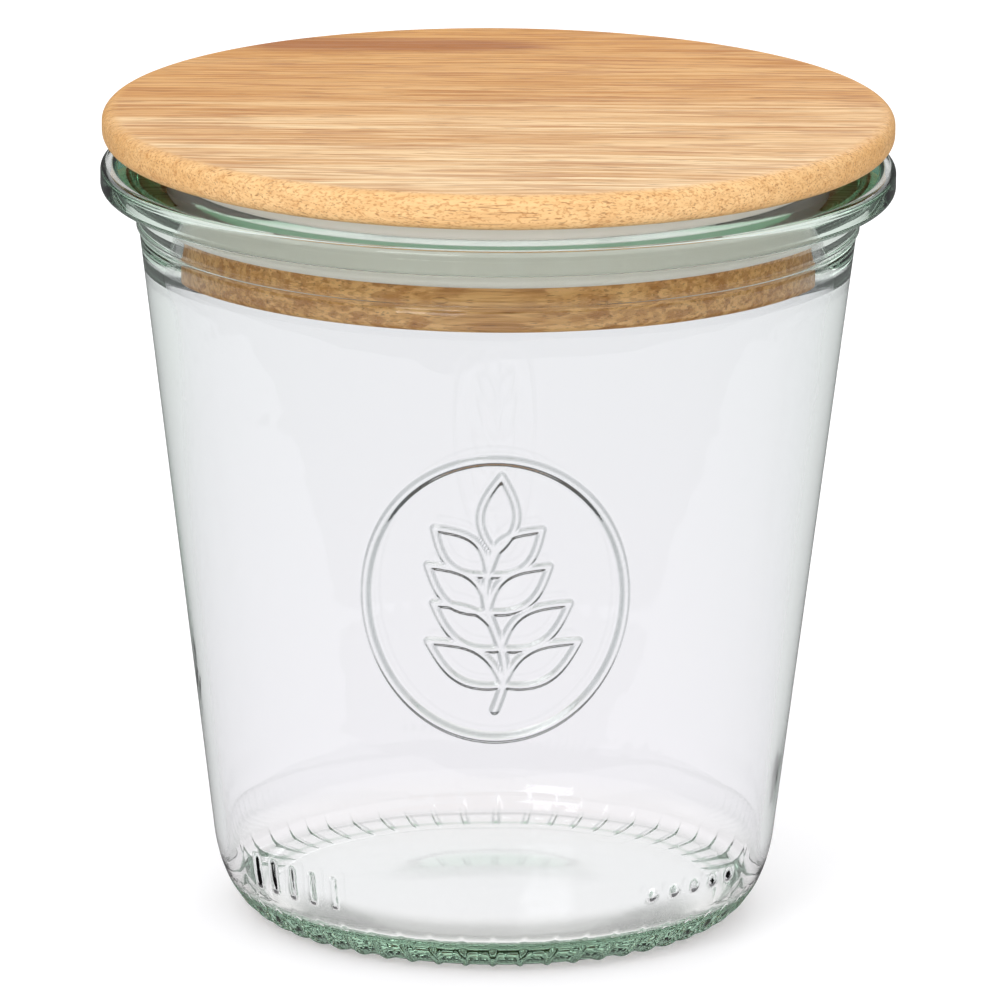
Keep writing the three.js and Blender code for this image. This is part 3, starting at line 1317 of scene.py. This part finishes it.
@dataclass
class SiliconeSeal:
    """The seal: a washer between ledge and disc, a skirt in the mouth and a rib in the plug's groove.

    Attributes:
        finish: The silicone.
        washer_height: Height of the washer.
        edge_round: Radius of its outer edges.
        skirt_radius: Outer radius of the skirt.
        skirt_wall: Thickness of the skirt.
        rib_height: Height of the rib.
        rib_radius: Inner radius of the rib.
        sides: Points round the axis.
    """

    finish: SiliconeFinish = SiliconeFinish()
    washer_height: float = 2.6
    edge_round: float = 0.4
    skirt_radius: float = 35.5
    skirt_wall: float = 0.6
    rib_height: float = 1.4
    rib_radius: float = 33.7
    sides: int = 240

    def profile(self) -> np.ndarray:
        """Gives the seal's closed outline, walked from the skirt's foot round the outside.

        Returns:
            Profile points: straight lines, with round arcs on the washer's outer edges.
        """
        low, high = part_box("seal")
        radius, foot, top = high.x / MM, low.z / MM, high.z / MM
        ledge = top - self.washer_height
        middle = 0.5 * (ledge + top)
        half = 0.5 * self.rib_height
        inner = self.skirt_radius - self.skirt_wall
        edge = self.edge_round
        return chain(
            line((inner, foot), (self.skirt_radius, foot), 2),
            line((self.skirt_radius, foot), (self.skirt_radius, ledge), 6),
            line((self.skirt_radius, ledge), (radius - edge, ledge), 3),
            arc((radius - edge, ledge + edge), edge, -90.0, 0.0, 5),
            arc((radius - edge, top - edge), edge, 0.0, 90.0, 5),
            line((radius - edge, top), (inner, top), 3),
            line((inner, top), (inner, middle + half), 2),
            line((inner, middle + half), (self.rib_radius, middle + half), 2),
            line((self.rib_radius, middle + half), (self.rib_radius, middle - half), 2),
            line((self.rib_radius, middle - half), (inner, middle - half), 2),
            line((inner, middle - half), (inner, foot), 6)[:-1],
        )

    def build(self) -> bpy.types.Object:
        """Builds the seal's mesh and dresses it.

        Returns:
            The piece.
        """
        ring = Run(self.profile(), even_angles(self.sides))
        piece = RevolvedSkin([ring], closed=True).make("silicone_seal")
        dress(piece, self.finish.material(), Body.CLOSURE, "seal")
        return piece


# The studio


@dataclass(frozen=True)
class Softbox:
    """A square lamp that looks at the jar.

    Attributes:
        name: Its name.
        place: Where it stands, in metres.
        side: Its side, in metres.
        power: Its power, in watts.
    """

    name: str
    place: tuple[float, float, float]
    side: float
    power: float

    def build(self) -> None:
        """Adds the lamp, turned to the middle of the jar."""
        lamp = bpy.data.lights.new(self.name, "AREA")
        lamp.shape = "SQUARE"
        lamp.size = self.side
        lamp.energy = self.power
        holder = bpy.data.objects.new(self.name, lamp)
        low, high = CAD_BOX
        middle = [0.5 * (a + b) for a, b in zip(low, high)]
        holder.matrix_world = looking(self.place, middle)
        bpy.context.scene.collection.objects.link(holder)


def looking(place: Sequence[float], target: Sequence[float]) -> Matrix:
    """Gives the matrix of something that looks along its -Z axis at a target, with +Y up.

    Args:
        place: Where it stands.
        target: What it looks at.

    Returns:
        The matrix, whose columns are the right, the up and the backward direction and the place.
    """
    back = np.subtract(place, target)
    back = back / np.linalg.norm(back)
    right = np.cross((0.0, 0.0, 1.0), back)
    right = right / np.linalg.norm(right)
    turned = np.column_stack((right, np.cross(back, right), back))
    matrix = np.eye(4)
    matrix[:3, :3] = turned
    matrix[:3, 3] = place
    return Matrix(matrix.tolist())


@dataclass
class Studio:
    """A white floor and surround, soft lamps and the camera.

    Attributes:
        floor_radius: Radius of the floor, in metres.
        floor_drop: How far the floor lies under the jar, in metres.
        floor_colour: Colour of the floor.
        floor_glow: Light that the camera sees besides what falls on the floor.
        dark_level: Level of what glass shows of the low surround, and mirrors of the floor.
        ceiling_level: Level of what glass shows higher up.
        belt_top: Upward parts of the direction between which the dark belt gives way to the ceiling.
        side_level: Level of the light from the sides.
        top_level: Level of the light from above.
        top_rise: Upward parts of the direction between which side light turns into top light.
        front_level: Level of the light that the front adds.
        front_turn: Parts of the direction along Y between which the front sets in.
        low_level: Level of the light that the front adds low down.
        low_fall: Upward parts of the direction between which that sets in, downwards.
        lamps: The lamps.
        glass_bounces: How often light may bounce in all, or go through glass.
        mirror_bounces: How often it may be mirrored.
        camera_distance: From the point that the camera goes round, in metres.
        camera_elevation_deg: Its rise over that point.
        camera_aim_height: That point's height, in metres.
        camera_pitch_deg: How far it looks down.
        camera_yaw_deg: How far it looks to the right.
        camera_roll_deg: How far it leans.
        camera_lens: Focal length for a sensor 36 mm wide.
    """

    floor_radius: float = 4.0
    floor_drop: float = 0.00004
    floor_colour: Colour = paint("ebebed")
    floor_glow: float = 0.26
    dark_level: float = 0.12
    ceiling_level: float = 1.0
    belt_top: Pair = (0.21, 0.27)
    side_level: float = 0.75
    top_level: float = 1.02
    top_rise: Pair = (0.2, 0.7)
    front_level: float = 0.55
    front_turn: Pair = (-0.3, -0.9)
    low_level: float = 1.6
    low_fall: Pair = (0.4, 0.15)
    lamps: tuple[Softbox, ...] = (
        Softbox("key_lamp", (-0.45, -0.95, 0.95), 0.5, 3.0),
        Softbox("rear_lamp", (0.30, 1.10, 0.80), 0.5, 1.5),
    )
    glass_bounces: int = 24
    mirror_bounces: int = 12
    camera_distance: float = 1.2
    camera_elevation_deg: float = 12.53
    camera_aim_height: float = 0.0904
    camera_pitch_deg: float = 14.53
    camera_yaw_deg: float = 0.022
    camera_roll_deg: float = 0.40
    camera_lens: float = 386.4

    def light_paths(self, graph: NodeGraph) -> tuple[Wire, Wire, Wire]:
        """Gives 1 for rays from the camera, for those mirrored by glass and for those that went through it.

        Rays that light a matt surface count as neither of the last two, also where they pass through glass.

        Args:
            graph: The graph that reads them.

        Returns:
            The three masks.
        """
        camera = graph.node("ShaderNodeLightPath", output="Is Camera Ray")
        outputs = camera.socket.node.outputs
        depth = Wire(graph, outputs["Diffuse Depth"])
        seen = 1.0 - depth.math("MINIMUM", depth, 1.0)
        through = seen * Wire(graph, outputs["Is Transmission Ray"])
        return camera, (seen * Wire(graph, outputs["Is Glossy Ray"]) - through).larger(0.0), through

    def floor(self) -> None:
        """Adds the floor, a disc just under the jar, white where it is lit and grey in the jar's shadow."""
        steps = np.radians(np.linspace(0.0, 360.0, 97)[:-1])
        rim = np.column_stack((np.cos(steps), np.sin(steps), np.zeros_like(steps))) * self.floor_radius
        rim[:, 2] = -self.floor_drop
        mesh = bpy.data.meshes.new("floor")
        mesh.from_pydata(rim.tolist(), [], [list(range(len(rim)))])
        floor = bpy.data.objects.new("floor", mesh)
        bpy.context.scene.collection.objects.link(floor)
        material, graph = new_material("studio_floor")
        camera, mirrored, through = self.light_paths(graph)
        matt = graph.node("ShaderNodeBsdfDiffuse", inputs={"Color": self.floor_colour})
        glow = graph.node("ShaderNodeEmission", inputs={"Strength": self.floor_glow * camera})
        both = graph.node("ShaderNodeAddShader", inputs={0: matt, 1: glow})
        shown = graph.node("ShaderNodeEmission", inputs={
            "Strength": self.dark_level + (1.0 - self.dark_level) * through,
        })
        surface = graph.node("ShaderNodeMixShader", inputs={0: mirrored + through, 1: both, 2: shown})
        graph.output("ShaderNodeOutputMaterial", {"Surface": surface})
        mesh.materials.append(material)

    def surround(self) -> None:
        """Makes the world: soft light from all round, and the dark belt and bright ceiling in the glass."""
        world = bpy.data.worlds.new("studio")
        bpy.context.scene.world = world
        world.use_nodes = True
        graph = NodeGraph(world.node_tree)
        direction = graph.node("ShaderNodeTexCoord", output="Generated")
        _, ahead, up = graph.split(direction)
        camera, mirrored, through = self.light_paths(graph)
        shown = self.dark_level + (self.ceiling_level - self.dark_level) * up.ramp(*self.belt_top)
        front = (self.front_level + self.low_level * up.ramp(*self.low_fall)) * ahead.ramp(*self.front_turn)
        falling = self.side_level + (self.top_level - self.side_level) * up.ramp(*self.top_rise) + front
        strength = (falling + (mirrored + through) * (shown - falling)).larger(camera)
        white = paint("ffffff")
        light = graph.node("ShaderNodeBackground", inputs={"Color": white, "Strength": strength})
        graph.output("ShaderNodeOutputWorld", {"Surface": light})

    def camera(self) -> None:
        """Adds the camera, a long lens that looks slightly down on the jar."""
        data = bpy.data.cameras.new("camera")
        data.lens = self.camera_lens
        data.sensor_width = 36.0
        holder = bpy.data.objects.new("camera", data)
        elevation = math.radians(self.camera_elevation_deg)
        back = self.camera_distance * math.cos(elevation)
        up = self.camera_aim_height + self.camera_distance * math.sin(elevation)
        turn = Matrix.Rotation(math.radians(-self.camera_yaw_deg), 4, "Z")
        tilt = Matrix.Rotation(math.radians(90.0 - self.camera_pitch_deg), 4, "X")
        roll = Matrix.Rotation(math.radians(self.camera_roll_deg), 4, "Z")
        holder.matrix_world = Matrix.Translation((0.0, -back, up)) @ turn @ tilt @ roll
        bpy.context.scene.collection.objects.link(holder)
        bpy.context.scene.camera = holder

    def build(self) -> None:
        """Builds the floor, the surround, the lamps and the camera, and sets how light becomes colour."""
        scene = bpy.context.scene
        scene.view_settings.view_transform = "Standard"
        scene.cycles.max_bounces = self.glass_bounces
        scene.cycles.transmission_bounces = self.glass_bounces
        scene.cycles.glossy_bounces = self.mirror_bounces
        self.floor()
        self.surround()
        for lamp in self.lamps:
            lamp.build()
        self.camera()


def main() -> None:
    """Builds the studio and the three pieces, and reports each."""
    logging.basicConfig(level=logging.INFO, format="%(name)s: %(message)s")
    Studio().build()
    for assembly in (JarGlass(), WoodenLid(), SiliconeSeal()):
        piece = assembly.build()
        log.info("built %s", piece.name)


if __name__ == "__main__":
    main()
